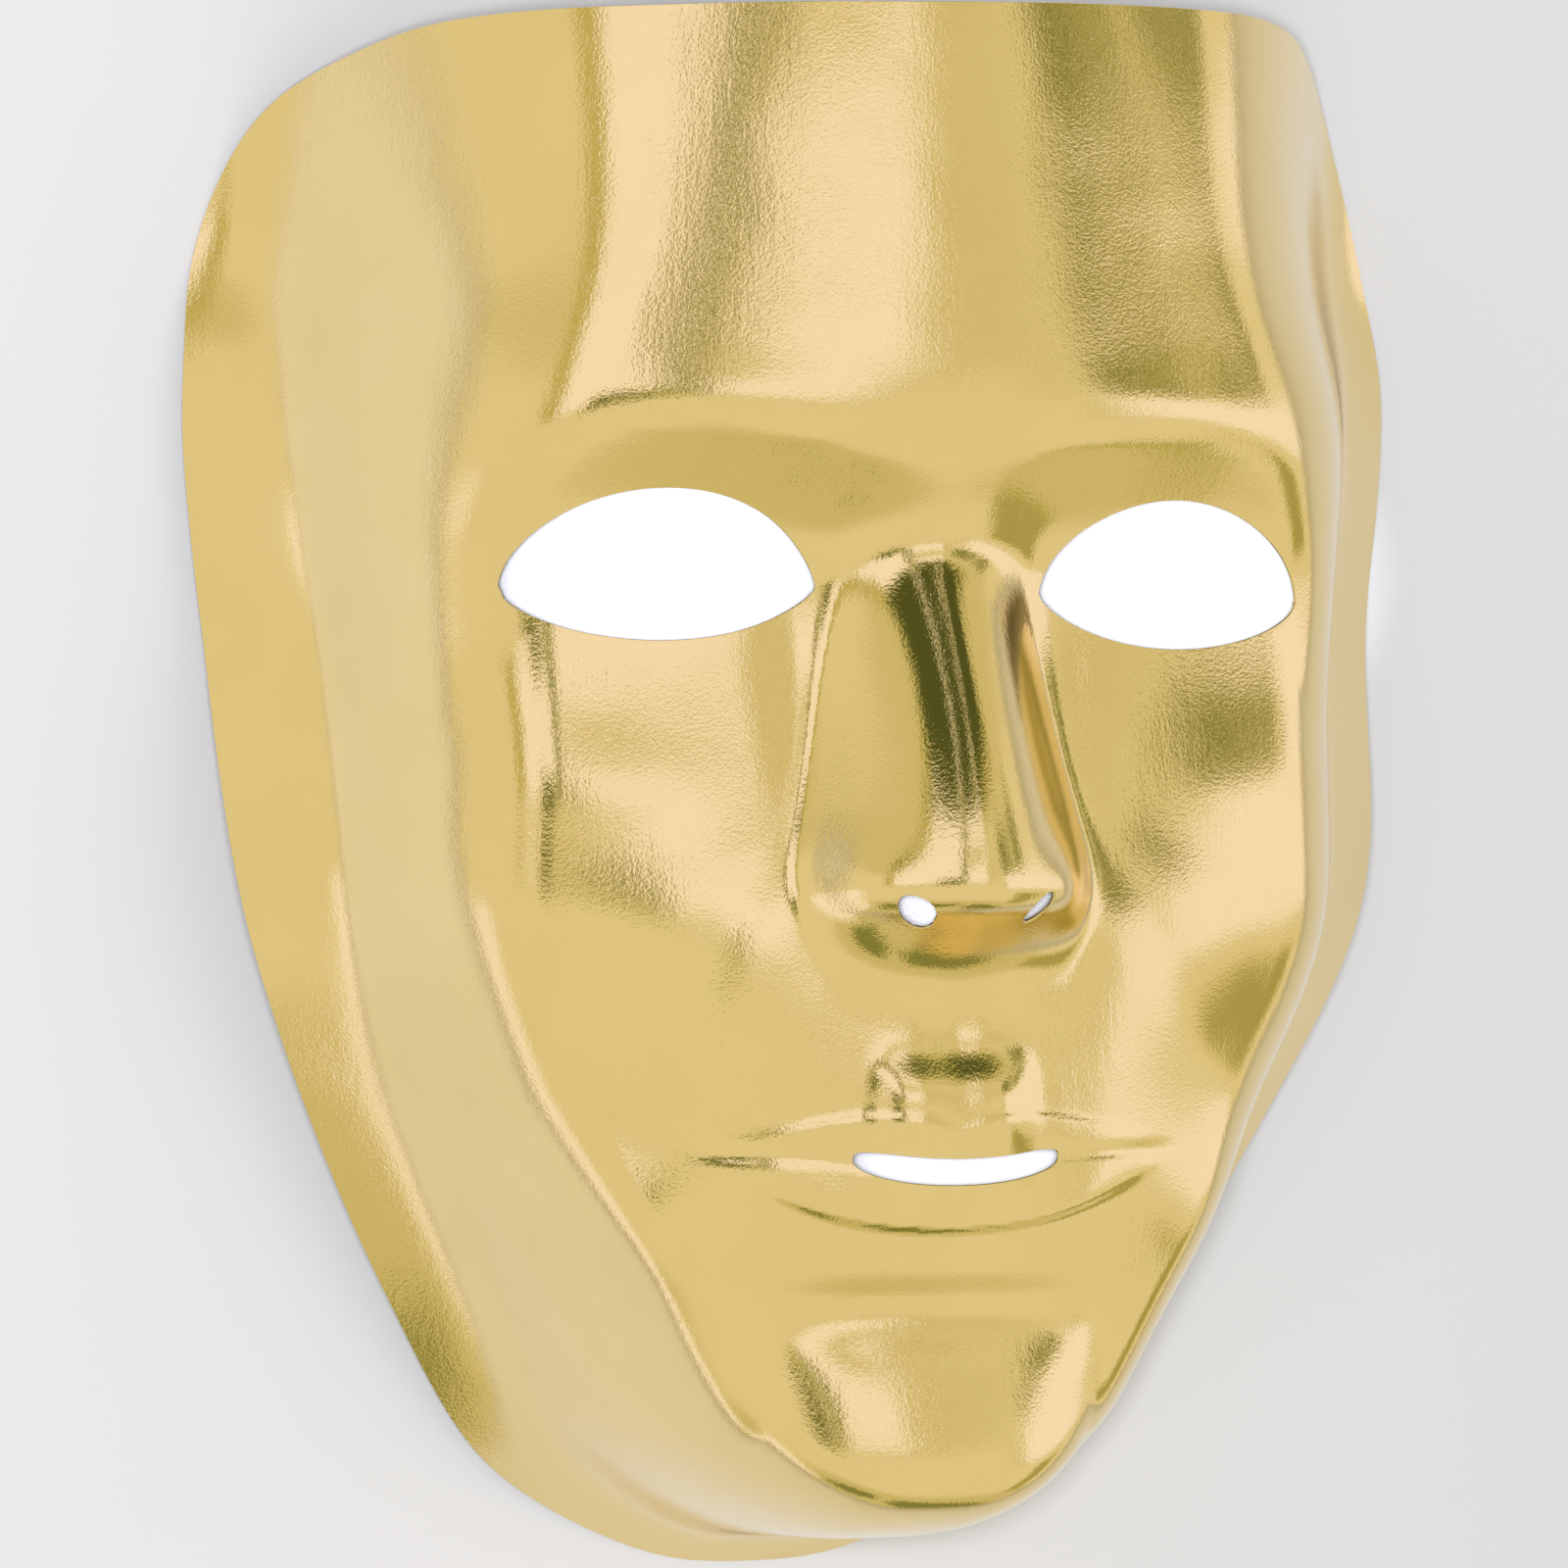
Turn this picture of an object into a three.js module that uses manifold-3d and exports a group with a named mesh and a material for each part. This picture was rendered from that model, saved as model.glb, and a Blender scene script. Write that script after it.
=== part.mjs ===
// Full face mask, one shell of gold metallised plastic, lying face up on its rim.
// Millimetres. X runs across the face, Y from chin to forehead, Z out through the nose.
import * as THREE from "three";
import { mergeVertices } from "three/addons/utils/BufferGeometryUtils.js";
import Module from "manifold-3d";

// Sheet and finish
const SHEET = 0.6;
const GOLD = new THREE.MeshStandardMaterial({ color: "#d9bd76", roughness: 0.2, metalness: 1 });

// Right half of the cut rim as plan points from the forehead's middle down to the chin
const RIM_POINTS = [
  [0, 108], [20, 107.9], [40, 107.3], [57, 105.9], [65, 103.8], [71.4, 100], [78.1, 94], [83.4, 85],
  [87.2, 74], [89.4, 60], [89.7, 50], [88.6, 36], [86.9, 20], [85.6, 0], [83.2, -15], [78, -30],
  [71.2, -45], [63.6, -60], [55.2, -74.4], [48.6, -84.6], [41.2, -93.2], [31.6, -100], [20.6, -105.4],
  [10, -108.6], [0, -109.2],
];
// The top edge is cut a little higher on the right: from this level, over this height
const TRIM = { from: 60, tall: 48, lift: 1.9, tilt: 0.03, half: 86 };
// Where the sides would run if the top edge were not cut, above the last rim point that is kept
const SIDE_ABOVE = [[95, 190], [94, 150], [92.5, 115], [91.2, 88], [90.4, 68]];
const SIDE_FROM = 50;

// Heights and widths that change along Y, as [level, value] pairs
const MIDLINE = [
  [-112, 46], [-105, 54.4], [-98, 60.6], [-90, 65], [-82, 66], [-72, 65.8], [-63, 66], [-56, 66.8], [-50, 67.2],
  [-40, 67.1], [-30, 66.7], [-22, 66.2], [-14, 65.2], [0, 62], [14, 60], [28, 58], [38, 57.4], [47, 60],
  [55, 61.8], [64, 61.4], [76, 59.3], [92, 56.5], [108, 53.5], [125, 50],
];
const FALL = [
  [-110, 0.5], [-80, 0.46], [-45, 0.4], [-20, 0.42], [10, 0.36], [36, 0.36], [58, 0.5], [80, 0.56],
  [108, 0.58], [125, 0.62],
];
const FALL_ROUND = [
  [-110, 24], [-80, 28], [-50, 30], [-30, 28], [0, 26], [30, 30], [55, 34], [80, 34], [110, 30],
];
const RIM_RISE = [
  [-109, 0], [-100, 2], [-90, 5], [-80, 7.8], [-70, 10.2], [-60, 12], [-50, 13.5], [-40, 15.1], [-30, 17],
  [-20, 18], [-10, 17.3], [0, 14.8], [10, 11.4], [20, 8.4], [30, 6.4], [40, 5.6], [50, 4.6], [60, 2.8],
  [70, -1.2], [80, -2.8], [108, -3.4], [130, -3.4],
];
const BAND = [
  [-109, 5.2], [-100, 6.4], [-90, 8], [-75, 10], [-50, 11], [-20, 11.5], [0, 12.6], [30, 12.6], [50, 11.8],
  [75, 11.5], [108, 11.5], [130, 11.5],
];
const BAND_RISE = [
  [-109, 4], [-90, 6], [-60, 8.5], [-20, 10.5], [0, 11.6], [35, 12], [50, 10.5], [62, 7], [75, 3.2], [90, 2],
  [108, 2], [130, 2],
];
const CREASE = [[-109, 1.2], [0, 1.4], [42, 1.6], [56, 3], [70, 6], [90, 7], [130, 7]];
const WALL = [
  [-109, 11], [-98, 12], [-88, 13.4], [-74, 15.2], [-62, 15.6], [-50, 15.2], [-30, 16.5], [-12, 18.5], [0, 21],
  [30, 24], [55, 31], [80, 41], [108, 43], [130, 43],
];
const WALL_POWER = 2.4;
const RIDGE = [
  [-60, 0], [-26, 0], [-20.5, 0.2], [-18.5, 1], [-16, 3], [-13, 6.6], [-10.5, 10.1], [-8.6, 12.9], [-7, 14.1],
  [-4.5, 14.6], [-1, 14.5], [3, 13.9], [7.2, 12.8], [13.5, 10.7], [20.5, 8], [28, 4.8], [34.5, 1.9],
  [38.5, 0.4], [42, 0], [48, 0], [60, 0],
];
const NOSE_HALF = [
  [-60, 18], [-26, 18], [-19, 18], [-13, 20], [-6, 21], [0, 20.2], [10, 18], [20, 16], [30, 14.2], [38, 13.4],
  [60, 13.4],
];
const CHIN_LIFT = [
  [-112, 0], [-106, 0], [-100, 1.4], [-94, 3.7], [-89, 4.9], [-84.5, 5], [-80, 4.2], [-75, 3], [-70, 1.7],
  [-66, 0.7], [-62, 0.15], [-59, 0], [-40, 0],
];

// Levels and depths that change with the distance from the middle, as [distance, value] pairs
const BROW_LEVEL = [[0, 46.4], [8, 48.8], [22, 52.3], [35, 53.6], [47, 51.6], [59, 43], [69, 30], [80, 14]];
const BROW_ROLL = [[0, 12], [20, 17], [40, 17], [60, 18], [80, 18]];
const BROW_EDGE = [[0, 4], [8, 1.6], [16, 0.8], [40, 0.8], [52, 1.6], [62, 5], [80, 8]];
const SOCKET_DEPTH = [
  [0, 0], [6, 1], [15, 3.6], [24, 3.8], [38, 3.4], [50, 3.4], [62, 2.8], [74, 1], [84, 0], [95, 0],
];
const LIP_TOP = [[0, -39.9], [5.5, -38.2], [12, -38], [22, -39.6], [33, -42.3], [60, -43]];
const LIP_LOW = [[0, -51.8], [8, -51.4], [16, -50.1], [27, -46.3], [34, -43.4], [60, -43]];
const MOUTH = [[0, -45], [8, -44.4], [16, -43], [26, -42.6], [36, -42.6], [60, -43]];

// Brow line: each end dips away from its pivot, the left one less; ridge above the line
const BROW = { tilt: 0.06, pivot: 26, level_from: 18 };
const BROW_RIDGE = { lift: 0.7, above: 2.5, tall: 5.5, half: 24 };
// The socket's floor comes back to the face between these levels
const SOCKET = { power: 1.5, low: -12, tall: 42 };
// Soft rises and hollows: height, place from the middle and along Y, and radii
const CHEEK = { lift: 1.1, at: [52, 5], radii: [22, 9.5] };
const HOLLOW = { lift: -6, at: [52, -38], radii: [15, 17] };
const WING = { lift: 1.8, at: [15, -6], radii: [4.5, 5.5] };
const MUZZLE = { lift: 0.9, half: 30, level: -48, tall: 18 };
const FLARE = { lift: 2.1, half: 10.5, power: 6, top: -25.2, fade: 11, bottom: -36, rise: 14 };
const PHILTRUM = { lift: -0.4, half: 3.4, level: -28, tall: 8.5 };
const NASAL_FOLD = {
  lift: -0.6, at: [30.5, -13], lean: 0.58, half: 5, top: 2, fade: 12, bottom: -42, rise: 14,
};
// Dip between the nose and the cheek
const VALLEY = { lift: -0.7, at: 17.5, half: 6, level: 4, tall: 26 };
const LIPS = {
  end: 35, fade: 20, upper: 0.25, upper_edge: 1.2, upper_roll: 4, lower: 0.8, lower_edge: 1.5, lower_roll: 4.6,
};
const MOUTH_LINE = { lift: -0.2, end: 37, fade: 8, half: 1.1 };
const CHIN = { half: 24, power: 4 };
const CHIN_FOLD = { lift: -1.2, half: 24, level: -63, above: 3.4, below: 5.6 };
// Rounding where the domes of the nose and the chin meet the face
const DOME_EDGE = 0.12;

// Openings cut through the sheet
const EYE = {
  inner: [16.1, 31.4], inner_shift: [0.2, 0.3], outer: [57.8, 30.5], outer_shift: [1.5, 0.3], steps: 18,
  up: 13.5, up_power: [0.65, 0.56], down: 6.8, down_power: [0.73, 0.59],
};
const SLOT = {
  middle: 0.9, half: 15, level: -44.7, smile: 1.8, height: 3.8, end_power: 0.5, side_power: 0.7, steps: 32,
};
// The right nostril is cut smaller, turned further and a little higher
const NOSTRIL = {
  at: [8.7, -9.2], rise: 0.3, semi: [3.1, 1.55], shrink: [0.2, 0.25], turn: 42, turn_more: 5, steps: 16,
};
const CUT_FROM = 20;
const CUT_TO = 95;

// Mesh steps: each spoke runs from its foot on the middle line to a share of the half rim's length
const SPOKE_COUNT = [
  [0, 0], [0.17, 6], [0.28, 12], [0.42, 17], [0.5, 22], [0.56, 28], [0.64, 33], [0.7, 40], [0.74, 44],
  [1, 54],
];
const FOOT_LEVEL = [
  [0, 88], [0.2, 74], [0.28, 66], [0.39, 46], [0.54, 0], [0.64, -28], [0.69, -42], [0.74, -54], [0.82, -66],
  [0.9, -74], [1, -84],
];
const SPOKES = 54;
const NODES = 19;
const EDGE_STEPS = [0, 0.5, 0.93, 1.07];
const WALL_STEPS = [2.4, 4.6, 7.4, 11];
const INNER_GROWTH = 1.05;
const LOOK_IN = 0.01;
const LEAST_LEAN = 0.5;
const WALL_SHARE = 0.7;
const RIM_STEPS = 1000;

// Natural cubic spline through the given pairs, level beyond both ends
function spline(pairs) {
  const n = pairs.length;
  const x = pairs.map((p) => p[0]);
  const y = pairs.map((p) => p[1]);
  const bend = new Array(n).fill(0);
  const up = new Array(n).fill(0);
  for (let i = 1; i < n - 1; i++) {
    const before = x[i] - x[i - 1];
    const after = x[i + 1] - x[i];
    const pivot = 2 * (before + after) - before * up[i - 1];
    const turn = 6 * ((y[i + 1] - y[i]) / after - (y[i] - y[i - 1]) / before);
    up[i] = after / pivot;
    bend[i] = (turn - before * bend[i - 1]) / pivot;
  }
  for (let i = n - 2; i > 0; i--) bend[i] -= up[i] * bend[i + 1];
  return (at) => {
    const t = Math.min(Math.max(at, x[0]), x[n - 1]);
    let i = 0;
    while (i < n - 2 && t > x[i + 1]) i++;
    const h = x[i + 1] - x[i];
    const a = x[i + 1] - t;
    const b = t - x[i];
    const arch = (bend[i] * a ** 3 + bend[i + 1] * b ** 3) / (6 * h);
    return arch + (y[i] / h - (bend[i] * h) / 6) * a + (y[i + 1] / h - (bend[i + 1] * h) / 6) * b;
  };
}

const clamp = (t) => Math.min(Math.max(t, 0), 1);
const ease = (at) => {
  const t = clamp(at);
  return t * t * t * (t * (6 * t - 15) + 10);
};
const bell = (t) => Math.exp(-t * t);
const hill = (t) => 0.5 + 0.5 * Math.cos(Math.PI * clamp(Math.abs(t)));

const midline = spline(MIDLINE);
const fall = spline(FALL);
const fallRound = spline(FALL_ROUND);
const rimRise = spline(RIM_RISE);
const band = spline(BAND);
const bandRise = spline(BAND_RISE);
const crease = spline(CREASE);
const wall = spline(WALL);
const ridge = spline(RIDGE);
const noseHalf = spline(NOSE_HALF);
const chinLift = spline(CHIN_LIFT);
const browLevel = spline(BROW_LEVEL);
const browRoll = spline(BROW_ROLL);
const browEdge = spline(BROW_EDGE);
const socketDepth = spline(SOCKET_DEPTH);
const lipTop = spline(LIP_TOP);
const lipLow = spline(LIP_LOW);
const mouth = spline(MOUTH);

// Line of points at equal steps along a smooth curve through plan points
function smoothLine(points, count) {
  const along = [0];
  for (let i = 1; i < points.length; i++) {
    const step = Math.hypot(points[i][0] - points[i - 1][0], points[i][1] - points[i - 1][1]);
    along.push(along[i - 1] + step);
  }
  const px = spline(points.map((p, i) => [along[i], p[0]]));
  const py = spline(points.map((p, i) => [along[i], p[1]]));
  const end = along[along.length - 1];
  return Array.from({ length: count + 1 }, (_, i) => [px((end * i) / count), py((end * i) / count)]);
}

// Both halves of the uncut side line, right one first
const SIDE_HALF = [...SIDE_ABOVE, ...RIM_POINTS.filter((p) => p[1] <= SIDE_FROM)];
const SIDE_BACK = SIDE_HALF.slice(0, -1).reverse().map(([x, y]) => [-x, y]);
const SIDE_STEPS = 300;
const SIDE = smoothLine([...SIDE_HALF, ...SIDE_BACK], SIDE_STEPS);

// Distance in from the side line, in plan
function inset(x, y) {
  let best = Infinity;
  let side = 1;
  for (let i = 1; i < SIDE.length; i++) {
    const [ax, ay] = SIDE[i - 1];
    const ex = SIDE[i][0] - ax;
    const ey = SIDE[i][1] - ay;
    const t = clamp(((x - ax) * ex + (y - ay) * ey) / (ex * ex + ey * ey));
    const dx = x - ax - t * ex;
    const dy = y - ay - t * ey;
    const d = dx * dx + dy * dy;
    if (d < best) {
      best = d;
      side = ex * dy - ey * dx > 0 ? -1 : 1;
    }
  }
  return side * Math.sqrt(best);
}

const flatBell = (t) => Math.exp(-(t ** 4));
// The value where it is above zero and nought below, with the turn between them rounded
const softFloor = (value, edge) => 0.5 * (value + Math.hypot(value, edge));
const mound = (form, a, y) => {
  const across = bell((a - form.at[0]) / form.radii[0]);
  return form.lift * across * bell((y - form.at[1]) / form.radii[1]);
};

// How far a point lies under the brow line
function underBrow(x, y) {
  const a = Math.abs(x);
  const dip = BROW.tilt * Math.sign(x) * (a - BROW.pivot) * ease(a / BROW.level_from);
  const run = browLevel(a + 0.5) - browLevel(a - 0.5);
  return (browLevel(a) - dip - y) / Math.hypot(1, run);
}

function brow(x, y) {
  const a = Math.abs(x);
  const under = underBrow(x, y);
  const along = flatBell((a - BROW.pivot) / BROW_RIDGE.half);
  const roll = BROW_RIDGE.lift * along * bell((under + BROW_RIDGE.above) / BROW_RIDGE.tall);
  const share = clamp(softFloor(under, browEdge(a)) / browRoll(a));
  const mend = hill(Math.max(y - SOCKET.low, 0) / SOCKET.tall);
  return roll - socketDepth(a) * (1 - (1 - share) ** SOCKET.power) * (1 - mend);
}

function nose(a, y) {
  const beside = (a - NASAL_FOLD.at[0] + NASAL_FOLD.lean * (y - NASAL_FOLD.at[1])) / NASAL_FOLD.half;
  const span = ease((NASAL_FOLD.top - y) / NASAL_FOLD.fade) * ease((y - NASAL_FOLD.bottom) / NASAL_FOLD.rise);
  const bridge = ridge(y) * softFloor(1 - (a / noseHalf(y)) ** 2, DOME_EDGE);
  const valley = VALLEY.lift * bell((a - VALLEY.at) / VALLEY.half) * flatBell((y - VALLEY.level) / VALLEY.tall);
  return bridge + mound(WING, a, y) + valley + NASAL_FOLD.lift * bell(beside) * span;
}

function lips(a, y) {
  const fade = ease((LIPS.end - a) / LIPS.fade);
  const above = y - lipTop(a);
  const below = lipLow(a) - y;
  const upper = LIPS.upper * bell(above / (above > 0 ? LIPS.upper_edge : LIPS.upper_roll));
  const lower = LIPS.lower * bell(below / (below > 0 ? LIPS.lower_edge : LIPS.lower_roll));
  const line = ease((MOUTH_LINE.end - a) / MOUTH_LINE.fade) * bell((y - mouth(a)) / MOUTH_LINE.half);
  return fade * (upper + lower) + MOUTH_LINE.lift * line;
}

function chin(a, y) {
  const past = y - CHIN_FOLD.level;
  const tall = past > 0 ? CHIN_FOLD.above : CHIN_FOLD.below;
  const fold = CHIN_FOLD.lift * flatBell(a / CHIN_FOLD.half) * bell(past / tall);
  return fold + chinLift(y) * softFloor(1 - (a / CHIN.half) ** CHIN.power, DOME_EDGE);
}

// Panel between nose and mouth that leans out, with its shallow groove
function philtrum(a, y) {
  const span = ease((FLARE.top - y) / FLARE.fade) * (1 - ease((FLARE.bottom - y) / FLARE.rise));
  const groove = PHILTRUM.lift * bell(a / PHILTRUM.half) * flatBell((y - PHILTRUM.level) / PHILTRUM.tall);
  return FLARE.lift * Math.exp(-((a / FLARE.half) ** FLARE.power)) * span + groove;
}

// Front of the face with its features, before the side walls
function face(x, y) {
  const a = Math.abs(x);
  const across = Math.hypot(fall(y) * x, fallRound(y)) - fallRound(y);
  const muzzle = MUZZLE.lift * flatBell(a / MUZZLE.half) * bell((y - MUZZLE.level) / MUZZLE.tall);
  const soft = mound(CHEEK, a, y) + mound(HOLLOW, a, y) + muzzle + philtrum(a, y);
  return midline(y) - across + soft + brow(x, y) + nose(a, y) + lips(a, y) + chin(a, y);
}

// Front surface: flat-sloped band along the rim, crease, steep wall, face
function height(x, y) {
  const past = inset(x, y) - band(y);
  const run = 0.5 * (past + Math.hypot(past, crease(y)));
  const share = 1 - (1 - clamp(run / wall(y))) ** WALL_POWER;
  const foot = rimRise(y);
  const rise = bandRise(y);
  return foot + (rise * (past + band(y) - run)) / band(y) + (face(x, y) - foot - rise) * share;
}

// Point on the front, and the one behind it on the back of the sheet
const SLOPE_STEP = 0.4;
function through(x, y) {
  const dx = (height(x + SLOPE_STEP, y) - height(x - SLOPE_STEP, y)) / (2 * SLOPE_STEP);
  const dy = (height(x, y + SLOPE_STEP) - height(x, y - SLOPE_STEP)) / (2 * SLOPE_STEP);
  const front = new THREE.Vector3(x, y, height(x, y));
  const back = front.clone().addScaledVector(new THREE.Vector3(dx, dy, -1).normalize(), SHEET);
  if (x === 0) back.x = 0;
  return [front, back];
}

// Plan points of one spoke, from its foot on the middle line out to the rim
function spoke(rim, foot) {
  const length = Math.hypot(rim[0] - foot[0], rim[1] - foot[1]);
  const at = (t) => [rim[0] + (foot[0] - rim[0]) * t, rim[1] + (foot[1] - rim[1]) * t];
  const start = inset(...rim);
  const lean = Math.max((inset(...at(LOOK_IN)) - start) / (length * LOOK_IN), LEAST_LEAN);
  const edge = band(rim[1]) / lean;
  const steps = [...EDGE_STEPS.map((s) => s * edge), ...WALL_STEPS.map((s) => edge + s / lean)];
  const fit = Math.min(1, (WALL_SHARE * length) / steps[steps.length - 1]);
  const inward = steps.map((s) => s * fit);
  const rest = NODES - inward.length + 1;
  const last = inward[inward.length - 1];
  const whole = 1 - INNER_GROWTH ** -rest;
  for (let i = 1; i <= rest; i++) inward.push(last + ((length - last) * (1 - INNER_GROWTH ** -i)) / whole);
  const cutAcross = clamp(start / band(rim[1]));
  return inward.reverse().map((s, i) => at((s / length) * (1 - cutAcross) + (1 - i / NODES) * cutAcross));
}

// Level of a plan point once the top edge is cut
function trimmed(x, y) {
  const lift = (TRIM.lift + TRIM.tilt * x) * (1 - (x / TRIM.half) ** 4);
  return y + ease((y - TRIM.from) / TRIM.tall) * lift;
}

// Plan points of all spokes of the right half
function spokes() {
  const share = spline(SPOKE_COUNT.map(([s, count]) => [count, s]));
  const foot = spline(FOOT_LEVEL);
  const fine = smoothLine(RIM_POINTS, RIM_STEPS);
  return Array.from({ length: SPOKES + 1 }, (_, j) => {
    const part = share(j);
    return spoke(fine[Math.round(RIM_STEPS * part)], [0, foot(part)]);
  });
}

// The closed sheet: front, back and cut edge, both halves sharing the middle line
function sheet() {
  const rows = spokes();
  const corners = [];
  const quad = (a, b, c, d, turned) => {
    const order = turned ? [a, c, b, a, d, c] : [a, b, c, a, c, d];
    for (const p of order) corners.push(p.x, p.y, p.z);
  };
  for (const side of [1, -1]) {
    const grid = rows.map((row) => row.map(([x, y]) => through(side * x || 0, trimmed(side * x, y))));
    for (let j = 0; j < SPOKES; j++) {
      for (let i = 0; i < NODES; i++) {
        const cell = [grid[j][i], grid[j + 1][i], grid[j + 1][i + 1], grid[j][i + 1]];
        quad(...cell.map((c) => c[0]), side < 0);
        quad(...cell.map((c) => c[1]), side > 0);
      }
      const [from, to] = [grid[j][NODES], grid[j + 1][NODES]];
      quad(from[0], to[0], to[1], from[1], side < 0);
    }
  }
  return new THREE.BufferGeometry().setAttribute("position", new THREE.Float32BufferAttribute(corners, 3));
}

// Almond of one eye; the two are trimmed with small differences
function eyeOutline(side) {
  const [x0, y0] = EYE.inner.map((v, i) => v - side * EYE.inner_shift[i]);
  const [x1, y1] = EYE.outer.map((v, i) => v - side * EYE.outer_shift[i]);
  const lid = (lift, [from, to], t) => lift * (4 * t * (1 - t)) ** (from + (to - from) * t);
  return Array.from({ length: 2 * EYE.steps }, (_, i) => {
    const upper = i < EYE.steps;
    const turn = (Math.PI * (upper ? i : 2 * EYE.steps - i)) / EYE.steps;
    const t = 0.5 - 0.5 * Math.cos(turn);
    const lift = upper ? lid(EYE.up, EYE.up_power, t) : -lid(EYE.down, EYE.down_power, t);
    return [side * (x0 + (x1 - x0) * t), y0 + (y1 - y0) * t + lift];
  });
}

// Value of a rounded box's outline: a cosine or sine flattened by a power
const flattened = (value, power) => Math.sign(value) * Math.abs(value) ** power;

function slotOutline() {
  return Array.from({ length: SLOT.steps }, (_, i) => {
    const angle = (2 * Math.PI * i) / SLOT.steps;
    const x = SLOT.half * flattened(Math.cos(angle), SLOT.end_power);
    const lift = (SLOT.height / 2) * flattened(Math.sin(angle), SLOT.side_power);
    return [x + SLOT.middle, SLOT.level + SLOT.smile * (x / SLOT.half) ** 2 + lift];
  });
}

function nostrilOutline(side) {
  const turn = THREE.MathUtils.degToRad(NOSTRIL.turn + side * NOSTRIL.turn_more);
  const [long, short] = NOSTRIL.semi.map((v, i) => v - side * NOSTRIL.shrink[i]);
  return Array.from({ length: NOSTRIL.steps }, (_, i) => {
    const angle = (2 * Math.PI * i) / NOSTRIL.steps;
    const u = long * Math.cos(angle);
    const v = short * Math.sin(angle);
    const x = NOSTRIL.at[0] + u * Math.cos(turn) - v * Math.sin(turn);
    const y = NOSTRIL.at[1] + side * NOSTRIL.rise + u * Math.sin(turn) + v * Math.cos(turn);
    return [side * x, y];
  });
}

// Upright prism on a plan outline, for cutting
function prism(outline, from, to) {
  const shape = new THREE.Shape(outline.map(([x, y]) => new THREE.Vector2(x, y)));
  return new THREE.ExtrudeGeometry(shape, { depth: to - from, bevelEnabled: false }).translate(0, 0, from);
}

const wasm = await Module();
wasm.setup();

function solid(geometry) {
  geometry.deleteAttribute("normal");
  geometry.deleteAttribute("uv");
  const merged = mergeVertices(geometry, 1e-4);
  const vertProperties = merged.attributes.position.array;
  const triVerts = new Uint32Array(merged.index.array);
  return new wasm.Manifold(new wasm.Mesh({ numProp: 3, vertProperties, triVerts }));
}

const cuts = [
  eyeOutline(1), eyeOutline(-1), slotOutline(), nostrilOutline(1), nostrilOutline(-1),
].map((outline) => solid(prism(outline, CUT_FROM, CUT_TO)));

let shell = solid(sheet());
for (const cut of cuts) shell = shell.subtract(cut);

// The origin goes to the middle of the box's underside
const box = shell.boundingBox();
shell = shell.translate([-(box.min[0] + box.max[0]) / 2, -(box.min[1] + box.max[1]) / 2, -box.min[2]]);

// Plain three.js geometry of a finished body
function geometryOf(body) {
  const mesh = body.getMesh();
  const flat = [];
  for (const v of mesh.triVerts) {
    const from = v * mesh.numProp;
    flat.push(...mesh.vertProperties.subarray(from, from + 3));
  }
  const geometry = new THREE.BufferGeometry();
  geometry.setAttribute("position", new THREE.Float32BufferAttribute(flat, 3));
  geometry.computeVertexNormals();
  return geometry;
}

const mask = new THREE.Mesh(geometryOf(shell), GOLD);
mask.name = "mask_shell";
const group = new THREE.Group();
group.add(mask);
export default group;
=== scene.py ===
"""Full face mask: one thin sheet of gold metallised plastic, lying face up on a pale floor.

The shape is worked out in millimetres, with X across the face, Y from chin to forehead and Z out
through the nose, and the finished mesh is in metres.
"""
import math
from types import SimpleNamespace as Form

import bpy
import numpy as np
from mathutils import Matrix, Vector


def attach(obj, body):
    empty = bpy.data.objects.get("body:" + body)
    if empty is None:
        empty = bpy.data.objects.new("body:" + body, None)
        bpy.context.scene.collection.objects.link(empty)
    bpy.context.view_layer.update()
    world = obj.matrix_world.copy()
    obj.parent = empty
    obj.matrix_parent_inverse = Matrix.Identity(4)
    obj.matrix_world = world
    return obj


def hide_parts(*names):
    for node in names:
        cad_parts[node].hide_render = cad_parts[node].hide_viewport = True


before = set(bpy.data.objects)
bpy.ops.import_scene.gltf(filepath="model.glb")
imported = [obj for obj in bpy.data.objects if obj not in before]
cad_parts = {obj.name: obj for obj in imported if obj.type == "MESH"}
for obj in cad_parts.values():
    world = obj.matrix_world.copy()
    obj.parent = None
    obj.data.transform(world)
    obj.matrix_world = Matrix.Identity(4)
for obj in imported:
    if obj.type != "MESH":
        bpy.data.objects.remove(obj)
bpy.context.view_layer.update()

MM = 0.001
SHEET = 0.6
# The cut edge bulges out a little, over a few rings of faces
EDGE_RINGS = 3
EDGE_BULGE = 0.12

# Right half of the cut rim as plan points from the forehead's middle down to the chin
RIM_POINTS = [
    (0, 108), (20, 107.9), (40, 107.3), (57, 105.9), (65, 103.8), (71.4, 100), (78.1, 94), (83.4, 85),
    (87.2, 74), (89.4, 60), (89.7, 50), (88.6, 36), (86.9, 20), (85.6, 0), (83.2, -15), (78, -30),
    (71.2, -45), (63.6, -60), (55.2, -74.4), (48.6, -84.6), (41.2, -93.2), (31.6, -100), (20.6, -105.4),
    (10, -108.6), (0, -109.2),
]
# The top edge is cut a little higher on the right: from this level, over this height
TRIM = Form(start=60, tall=48, lift=1.9, tilt=0.03, half=86)
# Where the sides would run if the top edge were not cut, above the last rim point that is kept
SIDE_ABOVE = [(95, 190), (94, 150), (92.5, 115), (91.2, 88), (90.4, 68)]
SIDE_FROM = 50


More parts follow.
